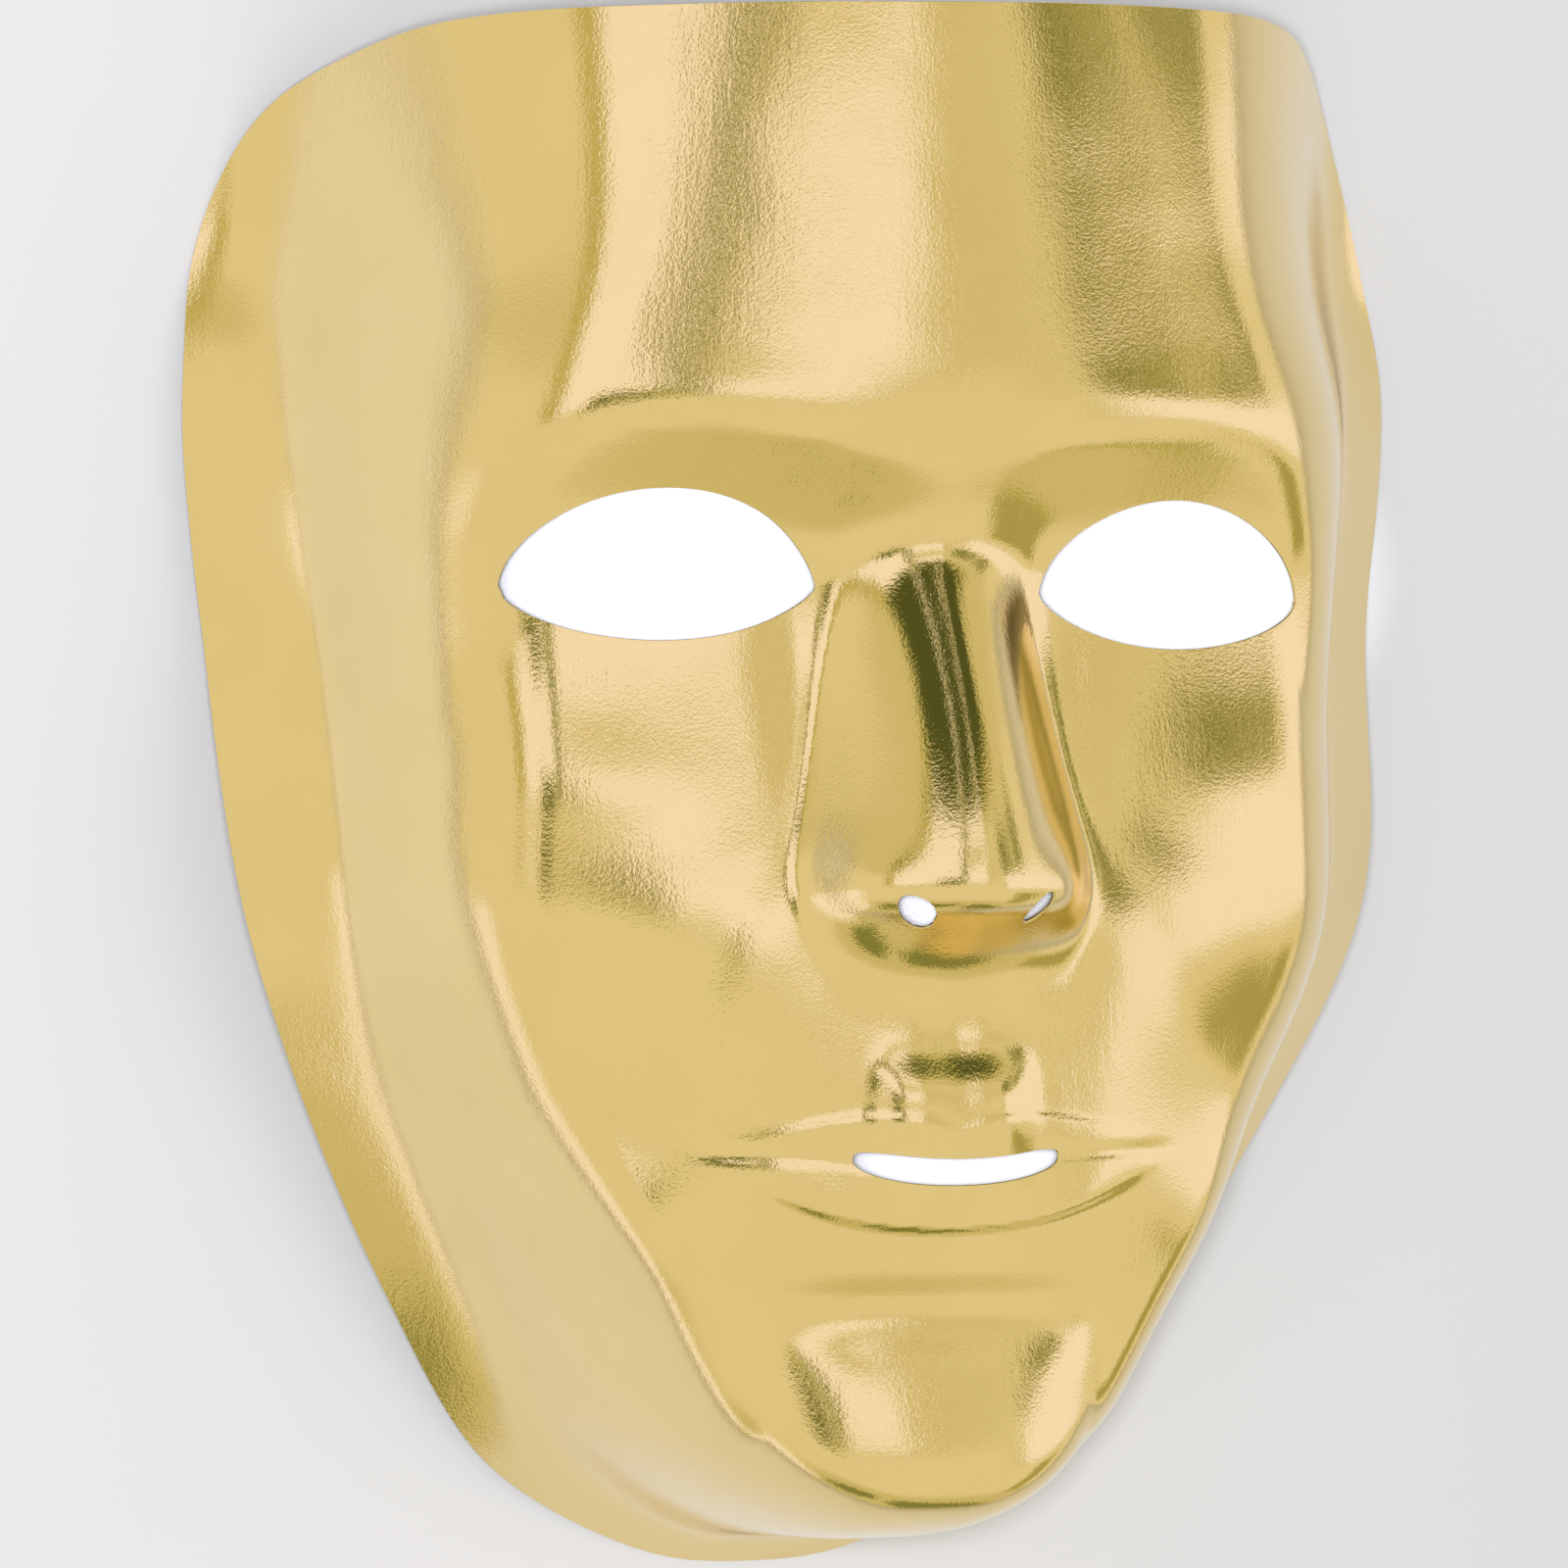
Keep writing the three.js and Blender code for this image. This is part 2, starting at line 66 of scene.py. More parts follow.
def natural_spline(x, y):
    """Natural cubic spline through the given points, level beyond both ends."""
    x, y = np.array(x, float), np.array(y, float)
    n = len(x)
    h = np.diff(x)
    system = np.eye(n)
    turn = np.zeros(n)
    for i in range(1, n - 1):
        system[i, i - 1:i + 2] = h[i - 1], 2 * (h[i - 1] + h[i]), h[i]
        turn[i] = 6 * ((y[i + 1] - y[i]) / h[i] - (y[i] - y[i - 1]) / h[i - 1])
    bend = np.linalg.solve(system, turn)

    def value(at):
        t = np.clip(at, x[0], x[-1])
        i = np.clip(np.searchsorted(x, t) - 1, 0, n - 2)
        a, b = x[i + 1] - t, t - x[i]
        arch = (bend[i] * a ** 3 + bend[i + 1] * b ** 3) / (6 * h[i])
        return arch + (y[i] / h[i] - bend[i] * h[i] / 6) * a + (y[i + 1] / h[i] - bend[i + 1] * h[i] / 6) * b

    return value


def spline(*pairs):
    return natural_spline(*zip(*pairs))


# Heights and widths that change along Y, as (level, value) pairs
midline = spline(
    (-112, 46), (-105, 54.4), (-98, 60.6), (-90, 65), (-82, 66), (-72, 65.8), (-63, 66), (-56, 66.8),
    (-50, 67.2), (-40, 67.1), (-30, 66.7), (-22, 66.2), (-14, 65.2), (0, 62), (14, 60), (28, 58), (38, 57.4),
    (47, 60), (55, 61.8), (64, 61.4), (76, 59.3), (92, 56.5), (108, 53.5), (125, 50),
)
fall = spline(
    (-110, 0.5), (-80, 0.46), (-45, 0.4), (-20, 0.42), (10, 0.36), (36, 0.36), (58, 0.5), (80, 0.56),
    (108, 0.58), (125, 0.62),
)
fall_round = spline(
    (-110, 24), (-80, 28), (-50, 30), (-30, 28), (0, 26), (30, 30), (55, 34), (80, 34), (110, 30),
)
rim_rise = spline(
    (-109, 0), (-100, 2), (-90, 5), (-80, 7.8), (-70, 10.2), (-60, 12), (-50, 13.5), (-40, 15.1), (-30, 17),
    (-20, 18), (-10, 17.3), (0, 14.8), (10, 11.4), (20, 8.4), (30, 6.4), (40, 5.6), (50, 4.6), (60, 2.8),
    (70, -1.2), (80, -2.8), (108, -3.4), (130, -3.4),
)
band = spline(
    (-109, 5.2), (-100, 6.4), (-90, 8), (-75, 10), (-50, 11), (-20, 11.5), (0, 12.6), (30, 12.6), (50, 11.8),
    (75, 11.5), (108, 11.5), (130, 11.5),
)
band_rise = spline(
    (-109, 4), (-90, 6), (-60, 8.5), (-20, 10.5), (0, 11.6), (35, 12), (50, 10.5), (62, 7), (75, 3.2),
    (90, 2), (108, 2), (130, 2),
)
crease = spline((-109, 1.2), (0, 1.4), (42, 1.6), (56, 3), (70, 6), (90, 7), (130, 7))
wall = spline(
    (-109, 11), (-98, 12), (-88, 13.4), (-74, 15.2), (-62, 15.6), (-50, 15.2), (-30, 16.5), (-12, 18.5),
    (0, 21), (30, 24), (55, 31), (80, 41), (108, 43), (130, 43),
)
WALL_POWER = 2.4
ridge = spline(
    (-60, 0), (-26, 0), (-20.5, 0.2), (-18.5, 1), (-16, 3), (-13, 6.6), (-10.5, 10.1), (-8.6, 12.9),
    (-7, 14.1), (-4.5, 14.6), (-1, 14.5), (3, 13.9), (7.2, 12.8), (13.5, 10.7), (20.5, 8), (28, 4.8),
    (34.5, 1.9), (38.5, 0.4), (42, 0), (48, 0), (60, 0),
)
nose_half = spline(
    (-60, 18), (-26, 18), (-19, 18), (-13, 20), (-6, 21), (0, 20.2), (10, 18), (20, 16), (30, 14.2),
    (38, 13.4), (60, 13.4),
)
chin_lift = spline(
    (-112, 0), (-106, 0), (-100, 1.4), (-94, 3.7), (-89, 4.9), (-84.5, 5), (-80, 4.2), (-75, 3), (-70, 1.7),
    (-66, 0.7), (-62, 0.15), (-59, 0), (-40, 0),
)

# Levels and depths that change with the distance from the middle, as (distance, value) pairs
brow_level = spline((0, 46.4), (8, 48.8), (22, 52.3), (35, 53.6), (47, 51.6), (59, 43), (69, 30), (80, 14))
brow_roll = spline((0, 12), (20, 17), (40, 17), (60, 18), (80, 18))
brow_edge = spline((0, 4), (8, 1.6), (16, 0.8), (40, 0.8), (52, 1.6), (62, 5), (80, 8))
socket_depth = spline(
    (0, 0), (6, 1), (15, 3.6), (24, 3.8), (38, 3.4), (50, 3.4), (62, 2.8), (74, 1), (84, 0), (95, 0),
)
lip_top = spline((0, -39.9), (5.5, -38.2), (12, -38), (22, -39.6), (33, -42.3), (60, -43))
lip_low = spline((0, -51.8), (8, -51.4), (16, -50.1), (27, -46.3), (34, -43.4), (60, -43))
mouth = spline((0, -45), (8, -44.4), (16, -43), (26, -42.6), (36, -42.6), (60, -43))

# Brow line: each end dips away from its pivot, the left one less; ridge above the line
BROW = Form(tilt=0.06, pivot=26, level_from=18)
BROW_RIDGE = Form(lift=0.7, above=2.5, tall=5.5, half=24)
# The socket's floor comes back to the face between these levels
SOCKET = Form(power=1.5, low=-12, tall=42)
# Soft rises and hollows: height, place from the middle and along Y, and radii
CHEEK = Form(lift=1.1, at=(52, 5), radii=(22, 9.5))
HOLLOW = Form(lift=-6, at=(52, -38), radii=(15, 17))
WING = Form(lift=1.8, at=(15, -6), radii=(4.5, 5.5))
MUZZLE = Form(lift=0.9, half=30, level=-48, tall=18)
# Panel between nose and mouth that leans out, and its groove
FLARE = Form(lift=2.1, half=10.5, power=6, top=-25.2, fade=11, bottom=-36, rise=14)
PHILTRUM = Form(lift=-0.4, half=3.4, level=-28, tall=8.5)
NASAL_FOLD = Form(lift=-0.25, at=(30.5, -13), lean=0.58, half=5, top=2, fade=12, bottom=-42, rise=14)
# Dip between the nose and the cheek
VALLEY = Form(lift=-0.7, at=17.5, half=6, level=4, tall=26)
LIPS = Form(
    end=35, fade=20, upper=0.25, upper_edge=1.2, upper_roll=4, lower=0.8, lower_edge=1.1, lower_roll=4.6,
)
MOUTH_LINE = Form(lift=-0.2, end=37, fade=8, half=1.1)
CHIN = Form(half=24, power=4)
CHIN_FOLD = Form(lift=-1.2, half=24, level=-63, above=3.4, below=5.6)
# Rounding where the domes of the nose and the chin meet the face
DOME_EDGE = 0.12

# Openings cut through the sheet; the two eyes are trimmed with small differences
EYE = Form(
    inner=(16.1, 31.4), inner_shift=(0.2, 0.3), outer=(57.8, 30.5), outer_shift=(1.5, 0.3), steps=90,
    up=13.5, up_power=0.65, up_ease=0.09, down=6.8, down_power=0.73, down_ease=0.14,
)
SLOT = Form(
    middle=0.9, half=15, level=-44.7, smile=1.8, reach=1.9, end_power=0.5, side_power=0.7, steps=160,
)
# The right nostril is cut smaller, turned further and a little higher
NOSTRIL = Form(
    at=(8.7, -9.2), rise=0.3, semi=(3.1, 1.55), shrink=(0.2, 0.25), turn=42, turn_more=5, steps=60,
)


def ease(at):
    t = np.clip(at, 0, 1)
    return t * t * t * (t * (6 * t - 15) + 10)


def bell(t):
    return np.exp(-t * t)


def flat_bell(t):
    return np.exp(-t ** 4)


def hill(t):
    return 0.5 + 0.5 * np.cos(np.pi * np.clip(np.abs(t), 0, 1))


def mound(form, a, y):
    across = bell((a - form.at[0]) / form.radii[0])
    return form.lift * across * bell((y - form.at[1]) / form.radii[1])


def soft_floor(value, edge):
    """The value where it is above zero and nought below, with the turn between them rounded."""
    return 0.5 * (value + np.hypot(value, edge))


def brow(x, a, y):
    """Crisp edge along the brow line, and the eye socket that falls away below it."""
    dip = BROW.tilt * np.sign(x) * (a - BROW.pivot) * ease(a / BROW.level_from)
    run = brow_level(a + 0.5) - brow_level(a - 0.5)
    under = (brow_level(a) - dip - y) / np.hypot(1, run)
    along = flat_bell((a - BROW.pivot) / BROW_RIDGE.half)
    roll = BROW_RIDGE.lift * along * bell((under + BROW_RIDGE.above) / BROW_RIDGE.tall)
    share = np.clip(soft_floor(under, brow_edge(a)) / brow_roll(a), 0, 1)
    mend = hill(np.maximum(y - SOCKET.low, 0) / SOCKET.tall)
    return roll - socket_depth(a) * (1 - (1 - share) ** SOCKET.power) * (1 - mend)


def nose(a, y):
    """Ridge and wings, with the dip beside them and the fold that runs from nose to mouth."""
    bridge = ridge(y) * soft_floor(1 - (a / nose_half(y)) ** 2, DOME_EDGE)
    dips = VALLEY.lift * bell((a - VALLEY.at) / VALLEY.half) * flat_bell((y - VALLEY.level) / VALLEY.tall)
    beside = (a - NASAL_FOLD.at[0] + NASAL_FOLD.lean * (y - NASAL_FOLD.at[1])) / NASAL_FOLD.half
    span = ease((NASAL_FOLD.top - y) / NASAL_FOLD.fade) * ease((y - NASAL_FOLD.bottom) / NASAL_FOLD.rise)
    dips = dips + NASAL_FOLD.lift * bell(beside) * span
    return bridge + mound(WING, a, y) + dips


def lips(a, y):
    fade = ease((LIPS.end - a) / LIPS.fade)
    above = y - lip_top(a)
    below = lip_low(a) - y
    upper = LIPS.upper * bell(above / np.where(above > 0, LIPS.upper_edge, LIPS.upper_roll))
    lower = LIPS.lower * bell(below / np.where(below > 0, LIPS.lower_edge, LIPS.lower_roll))
    line = MOUTH_LINE.lift * ease((MOUTH_LINE.end - a) / MOUTH_LINE.fade)
    return fade * (upper + lower) + line * bell((y - mouth(a)) / MOUTH_LINE.half)


def chin(a, y):
    """Ball of the chin and the fold above it."""
    ball = chin_lift(y) * soft_floor(1 - (a / CHIN.half) ** CHIN.power, DOME_EDGE)
    fold = (y - CHIN_FOLD.level) / np.where(y > CHIN_FOLD.level, CHIN_FOLD.above, CHIN_FOLD.below)
    return ball + CHIN_FOLD.lift * flat_bell(a / CHIN_FOLD.half) * bell(fold)


def philtrum(a, y):
    panel = FLARE.lift * np.exp(-(a / FLARE.half) ** FLARE.power) * ease((FLARE.top - y) / FLARE.fade)
    panel = panel * (1 - ease((FLARE.bottom - y) / FLARE.rise))
    return panel + PHILTRUM.lift * bell(a / PHILTRUM.half) * flat_bell((y - PHILTRUM.level) / PHILTRUM.tall)


def face(x, y):
    """Front of the face with its features, before the side walls."""
    a = np.abs(x)
    across = np.hypot(fall(y) * x, fall_round(y)) - fall_round(y)
    muzzle = MUZZLE.lift * flat_bell(a / MUZZLE.half) * bell((y - MUZZLE.level) / MUZZLE.tall)
    soft = mound(CHEEK, a, y) + mound(HOLLOW, a, y) + muzzle + philtrum(a, y)
    return midline(y) - across + soft + brow(x, a, y) + nose(a, y) + lips(a, y) + chin(a, y)


# Small step for slopes, the least bend that a search for a near place divides by, and points at a time
STEP = 0.05
LEAST_BEND = 0.3
BATCH = 4000


class Line:
    """A smooth plan curve through points, which can be asked for places along it and distances to it."""

    def __init__(self, points):
        points = np.array(points, float)
        steps = np.hypot(*np.diff(points, axis=0).T)
        self.along = np.concatenate([[0], np.cumsum(steps)])
        self.x = natural_spline(self.along, points[:, 0])
        self.y = natural_spline(self.along, points[:, 1])
        self.end = self.along[-1]

    def at(self, s):
        return np.stack([self.x(s), self.y(s)], -1)

    def foot(self, x, y, seeds=600, rounds=5):
        """Place along the curve that lies nearest to each point."""
        s = np.linspace(0, self.end, seeds)
        seed = self.at(s)
        near = np.empty(len(x), int)
        for part in np.array_split(np.arange(len(x)), max(1, len(x) // BATCH)):
            away = (x[part, None] - seed[None, :, 0]) ** 2 + (y[part, None] - seed[None, :, 1]) ** 2
            near[part] = away.argmin(1)
        t = s[near]
        for _ in range(rounds):
            here, ahead, behind = self.at(t), self.at(t + STEP), self.at(t - STEP)
            tangent = (ahead - behind) / (2 * STEP)
            curve = (ahead - 2 * here + behind) / STEP ** 2
            gap = here - np.stack([x, y], -1)
            slope = (gap * tangent).sum(-1)
            bend = (tangent ** 2).sum(-1) + (gap * curve).sum(-1)
            t = np.clip(t - slope / np.maximum(bend, LEAST_BEND), STEP, self.end - STEP)
        return t

    def inset(self, x, y):
        """Distance to the curve, above zero on the right of its direction."""
        t = self.foot(x, y)
        here, ahead, behind = self.at(t), self.at(t + STEP), self.at(t - STEP)
        ex, ey = (ahead - behind).T
        dx, dy = x - here[:, 0], y - here[:, 1]
        return (ey * dx - ex * dy) / np.hypot(ex, ey)


def trimmed(x, y):
    """Plan points with the top edge cut a little higher on the right."""
    lift = TRIM.lift + TRIM.tilt * x
    return y + ease((y - TRIM.start) / TRIM.tall) * lift * (1 - (x / TRIM.half) ** 4)


half_side = SIDE_ABOVE + [p for p in RIM_POINTS if p[1] <= SIDE_FROM]
side_line = Line(half_side + [(-x, y) for x, y in half_side[-2::-1]])


def height(x, y):
    """Front surface: sloped band along the rim, crease, steep wall, face."""
    past = side_line.inset(x, y) - band(y)
    run = 0.5 * (past + np.hypot(past, crease(y)))
    share = 1 - (1 - np.clip(run / wall(y), 0, 1)) ** WALL_POWER
    foot, rise = rim_rise(y), band_rise(y)
    return foot + rise * (past + band(y) - run) / band(y) + (face(x, y) - foot - rise) * share


# Plan mesh: spokes run from the middle line out to the rim, closer together at the mouth and nose
SPOKES = 190
NODES = 122
EDGE_NODES = 14
WALL_NODES = 46
WALL_REACH = 24
# Where each spoke meets the rim, as pairs of a share of the spokes and one of the half rim's length
SPOKE_SHARE = spline(
    (0, 0), (0.111, 0.17), (0.222, 0.28), (0.315, 0.42), (0.407, 0.5), (0.519, 0.56), (0.611, 0.64),
    (0.741, 0.7), (0.815, 0.74), (1, 1),
)
# Where each spoke leaves the middle line, as pairs of the rim's share and a level
FOOT_LEVEL = spline(
    (0, 88), (0.2, 74), (0.28, 66), (0.39, 46), (0.54, 0), (0.64, -28), (0.69, -42), (0.74, -54),
    (0.82, -66), (0.9, -74), (1, -84),
)
# A spoke's lean to the side line is read this share along it, and the wall keeps to a share of it
LOOK_IN = 0.01
LEAST_LEAN = 0.5
WALL_SHARE = 0.7
EDGE_SHARE = 0.4


def spoke(rim, foot):
    """Plan points of one spoke from its foot out to the rim, closer together over the wall."""
    length = math.dist(rim, foot)
    look = np.array([0, LOOK_IN]) * length
    places = rim[None] + (foot - rim)[None] * (look / length)[:, None]
    start, then = side_line.inset(places[:, 0], places[:, 1])
    lean = max((then - start) / (look[1] - look[0]), LEAST_LEAN)
    edge = band(rim[1]) / lean
    reach = min(edge + WALL_REACH / lean, WALL_SHARE * length)
    edge = min(edge, EDGE_SHARE * reach)
    inner = NODES - EDGE_NODES - WALL_NODES
    even = np.concatenate([
        edge * np.arange(EDGE_NODES) / EDGE_NODES,
        edge + (reach - edge) * np.arange(WALL_NODES) / WALL_NODES,
        reach + (length - reach) * np.arange(inner + 1) / inner,
    ])
    cut = np.clip(start / band(rim[1]), 0, 1)
    share = even / length * (1 - cut) + np.linspace(0, 1, NODES + 1) * cut
    return rim[None] + (foot - rim)[None] * share[:, None]


def plan_mesh():
    """Plan points and triangles of the whole face, both halves sharing the middle line."""
    rim = Line(RIM_POINTS)
    rows = []
    for j in range(SPOKES + 1):
        share = float(SPOKE_SHARE(j / SPOKES))
        rows.append(spoke(rim.at(share * rim.end), np.array([0.0, float(FOOT_LEVEL(share))])))
    right = np.array(rows)
    right[:, -1, 0] = 0
    left = right[:, :-1] * [-1, 1]
    points = np.concatenate([right.reshape(-1, 2), left.reshape(-1, 2)])
    index = np.arange(right.size // 2).reshape(right.shape[:2])
    mirrored = right.size // 2 + np.arange(left.size // 2).reshape(left.shape[:2])
    mirrored = np.concatenate([mirrored, index[:, -1:]], 1)
    triangles = []
    for grid, turned in ((index, False), (mirrored, True)):
        a, b = grid[:-1, :-1].ravel(), grid[1:, :-1].ravel()
        c, d = grid[1:, 1:].ravel(), grid[:-1, 1:].ravel()
        one = np.stack([a, b, c] if turned else [a, c, b], 1)
        two = np.stack([a, c, d] if turned else [a, d, c], 1)
        triangles += [one, two]
    # The first and last spokes lie on the middle line's ends, where both halves already meet
    points, triangles = weld(points, np.concatenate(triangles))
    points[:, 1] = trimmed(points[:, 0], points[:, 1])
    return points, triangles


def weld(points, triangles, digits=5):
    """Joins points that coincide and drops triangles that have collapsed."""
    _, first, back = np.unique(np.round(points, digits), axis=0, return_index=True, return_inverse=True)
    triangles = back.reshape(-1)[triangles]
    sound = (triangles[:, 0] != triangles[:, 1]) & (triangles[:, 1] != triangles[:, 2])
    sound &= triangles[:, 2] != triangles[:, 0]
    return points[first], triangles[sound]


def eye_outline(side):
    """Almond of one eye."""
    x0, y0 = (v - side * shift for v, shift in zip(EYE.inner, EYE.inner_shift))
    x1, y1 = (v - side * shift for v, shift in zip(EYE.outer, EYE.outer_shift))
    turn = np.pi * np.arange(EYE.steps) / EYE.steps
    t = 0.5 - 0.5 * np.cos(np.concatenate([turn, np.pi - turn]))
    arch = 4 * t * (1 - t)
    upper = EYE.up * arch ** (EYE.up_power - EYE.up_ease * t)
    lower = -EYE.down * arch ** (EYE.down_power - EYE.down_ease * t)
    lift = np.concatenate([upper[:EYE.steps], lower[EYE.steps:]])
    return np.stack([side * (x0 + (x1 - x0) * t), y0 + (y1 - y0) * t + lift], 1)


def flattened(value, power):
    """A cosine or sine flattened towards a rounded box's outline."""
    return np.sign(value) * np.abs(value) ** power


def slot_outline():
    angle = 2 * np.pi * np.arange(SLOT.steps) / SLOT.steps
    x = SLOT.half * flattened(np.cos(angle), SLOT.end_power)
    lift = SLOT.reach * flattened(np.sin(angle), SLOT.side_power)
    return np.stack([x + SLOT.middle, SLOT.level + SLOT.smile * (x / SLOT.half) ** 2 + lift], 1)


def nostril_outline(side):
    turn = math.radians(NOSTRIL.turn + side * NOSTRIL.turn_more)
    angle = 2 * np.pi * np.arange(NOSTRIL.steps) / NOSTRIL.steps
    far, near = (v - side * less for v, less in zip(NOSTRIL.semi, NOSTRIL.shrink))
    u, v = far * np.cos(angle), near * np.sin(angle)
    x = NOSTRIL.at[0] + u * math.cos(turn) - v * math.sin(turn)
    y = NOSTRIL.at[1] + side * NOSTRIL.rise + u * math.sin(turn) + v * math.cos(turn)
    return np.stack([side * x, y], 1)


def outline_distance(points, outline):
    """Distance from each point to a closed outline, below zero inside, and the nearest place on it."""
    a = outline
    e = np.roll(outline, -1, axis=0) - a
    w = points[:, None] - a[None]
    t = np.clip((w * e).sum(-1) / (e * e).sum(-1), 0, 1)
    near = a[None] + e[None] * t[..., None]
    gaps = np.hypot(*np.moveaxis(points[:, None] - near, -1, 0))
    best = gaps.argmin(1)
    row = np.arange(len(points))
    ay, by = a[None, :, 1], np.roll(a, -1, axis=0)[None, :, 1]
    py = points[:, None, 1]
    crosses = (ay > py) != (by > py)
    rise = np.where(e[:, 1] == 0, 1, e[:, 1])
    at_x = a[None, :, 0] + (py - ay) * e[None, :, 0] / rise[None]
    inside = ((points[:, None, 0] < at_x) & crosses).sum(1) % 2 == 1
    return np.where(inside, -1, 1) * gaps[row, best], near[row, best]


# A mesh point closer to a cut than this moves onto it; only points within a margin are measured
SNAP = 0.18
MARGIN = 4
FAR = 1e3


def cut_hole(points, triangles, outline):
    """Removes the part of a plan mesh inside an outline, with mesh points exactly along the cut."""
    low, high = outline.min(0) - MARGIN, outline.max(0) + MARGIN
    close = np.flatnonzero(np.all((points > low) & (points < high), axis=1))
    gap = np.full(len(points), FAR)
    gap[close], near = outline_distance(points[close], outline)
    on = np.abs(gap[close]) < SNAP
    points = points.copy()
    points[close[on]] = near[on]
    gap[close[on]] = 0
    signs = np.sign(gap)[triangles]
    kept = [triangles[(signs >= 0).all(1) & (signs > 0).any(1)]]
    flat = triangles[(signs == 0).all(1)]
    if len(flat):
        middle, _ = outline_distance(points[flat].mean(1), outline)
        kept.append(flat[middle > 0])
    made, cuts, extra = [], {}, []

    def crossing(i, j):
        key = (min(i, j), max(i, j))
        if key not in cuts:
            share = gap[i] / (gap[i] - gap[j])
            place = points[i] + (points[j] - points[i]) * share
            _, place = outline_distance(place[None], outline)
            cuts[key] = len(points) + len(extra)
            extra.append(place[0])
        return cuts[key]

    for tri in triangles[(signs > 0).any(1) & (signs < 0).any(1)]:
        ring = []
        for i, j in zip(tri, np.roll(tri, -1)):
            if gap[i] >= 0:
                ring.append(i)
            if gap[i] * gap[j] < 0:
                ring.append(crossing(i, j))
        made += [(ring[0], ring[k], ring[k + 1]) for k in range(1, len(ring) - 1)]
    points = np.concatenate([points, np.array(extra)])
    triangles = np.concatenate(kept + [np.array(made)])
    used, back = np.unique(triangles, return_inverse=True)
    return weld(points[used], back.reshape(-1, 3), 4)


def border_loops(triangles):
    """Closed loops of the edges that belong to one triangle, in the triangles' own direction."""
    edges = np.concatenate([triangles[:, [0, 1]], triangles[:, [1, 2]], triangles[:, [2, 0]]])
    pairs = {(int(a), int(b)) for a, b in edges}
    after = {a: b for a, b in pairs if (b, a) not in pairs}
    loops = []
    while after:
        start, here = next(iter(after.items()))
        loop = [start]
        del after[start]
        while here != start:
            loop.append(here)
            here = after.pop(here)
        loops.append(np.array(loop))
    return loops


def sheet_mesh():
    """Vertices, normals, front, edge and back faces of the whole sheet, in millimetres."""
    plan, triangles = plan_mesh()
    outlines = [eye_outline(1), eye_outline(-1), slot_outline(), nostril_outline(1), nostril_outline(-1)]
    for outline in outlines:
        plan, triangles = cut_hole(plan, triangles, outline)
    x, y = plan.T
    z = height(x, y)
    dx = (height(x + STEP, y) - height(x - STEP, y)) / (2 * STEP)
    dy = (height(x, y + STEP) - height(x, y - STEP)) / (2 * STEP)
    normal = np.stack([-dx, -dy, np.ones_like(z)], 1)
    normal /= np.linalg.norm(normal, axis=1)[:, None]
    front = np.stack([x, y, z], 1)
    back = front - normal * SHEET
    count = len(front)
    vertices, normals = [front, back], [normal, -normal]
    base, edges = 2 * count, []
    for loop in border_loops(triangles):
        along = front[np.roll(loop, -1)] - front[np.roll(loop, 1)]
        outward = np.cross(along, normal[loop])
        outward /= np.linalg.norm(outward, axis=1)[:, None]
        rings = [loop]
        for k in range(1, EDGE_RINGS + 1):
            t = k / (EDGE_RINGS + 1)
            middle = front[loop] - normal[loop] * SHEET * t + outward * EDGE_BULGE * math.sin(math.pi * t)
            vertices.append(middle)
            normals.append(normal[loop] * math.cos(math.pi * t) + outward * math.sin(math.pi * t))
            rings.append(base + np.arange(len(loop)))
            base += len(loop)
        rings.append(loop + count)
        for upper, lower in zip(rings[:-1], rings[1:]):
            edges.append(np.stack([np.roll(upper, -1), upper, lower, np.roll(lower, -1)], 1))
    return np.concatenate(vertices), np.concatenate(normals), triangles, np.concatenate(edges), count


def make_mask():
    vertices, normals, front, edges, count = sheet_mesh()
    low, high = vertices.min(0), vertices.max(0)
    shift = np.array([-(low[0] + high[0]) / 2, -(low[1] + high[1]) / 2, -low[2]])
    back = front[:, ::-1] + count
    mesh = bpy.data.meshes.new("mask_sheet")
    faces = [list(map(int, f)) for f in np.concatenate([front, back])]
    faces += [list(map(int, f)) for f in edges]
    mesh.from_pydata(((vertices + shift) * MM).tolist(), [], faces)
    mesh.materials.append(film(GOLD))
    mesh.materials.append(film(INNER))
    inner = np.zeros(len(faces), np.int32)
    inner[len(front):2 * len(front)] = 1
    mesh.polygons.foreach_set("material_index", inner)
    mesh.polygons.foreach_set("use_smooth", np.ones(len(faces), bool))
    mesh.validate()
    mesh.normals_split_custom_set_from_vertices(normals.tolist())
    mask = bpy.data.objects.new("mask_sheet", mesh)
    bpy.context.scene.collection.objects.link(mask)
    return mask, shift


def new_material(name):
    material = bpy.data.materials.new(name)
    material.use_nodes = True
    nodes = material.node_tree.nodes
    nodes.clear()
    output = nodes.new("ShaderNodeOutputMaterial")
    shader = nodes.new("ShaderNodeBsdfPrincipled")
    material.node_tree.links.new(shader.outputs[0], output.inputs[0])
    return material, nodes, material.node_tree.links, shader


def noise(nodes, links, vector, grain):
    node = nodes.new("ShaderNodeTexNoise")
    node.inputs["Scale"].default_value = grain.scale
    node.inputs["Detail"].default_value = grain.detail
    node.inputs["Roughness"].default_value = grain.roughness
    links.new(vector, node.inputs["Vector"])
    return node.outputs[0]


def stretched(nodes, links, vector, stretch):
    node = nodes.new("ShaderNodeVectorMath")
    node.operation = "MULTIPLY"
    links.new(vector, node.inputs[0])
    node.inputs[1].default_value = stretch
    return node.outputs[0]


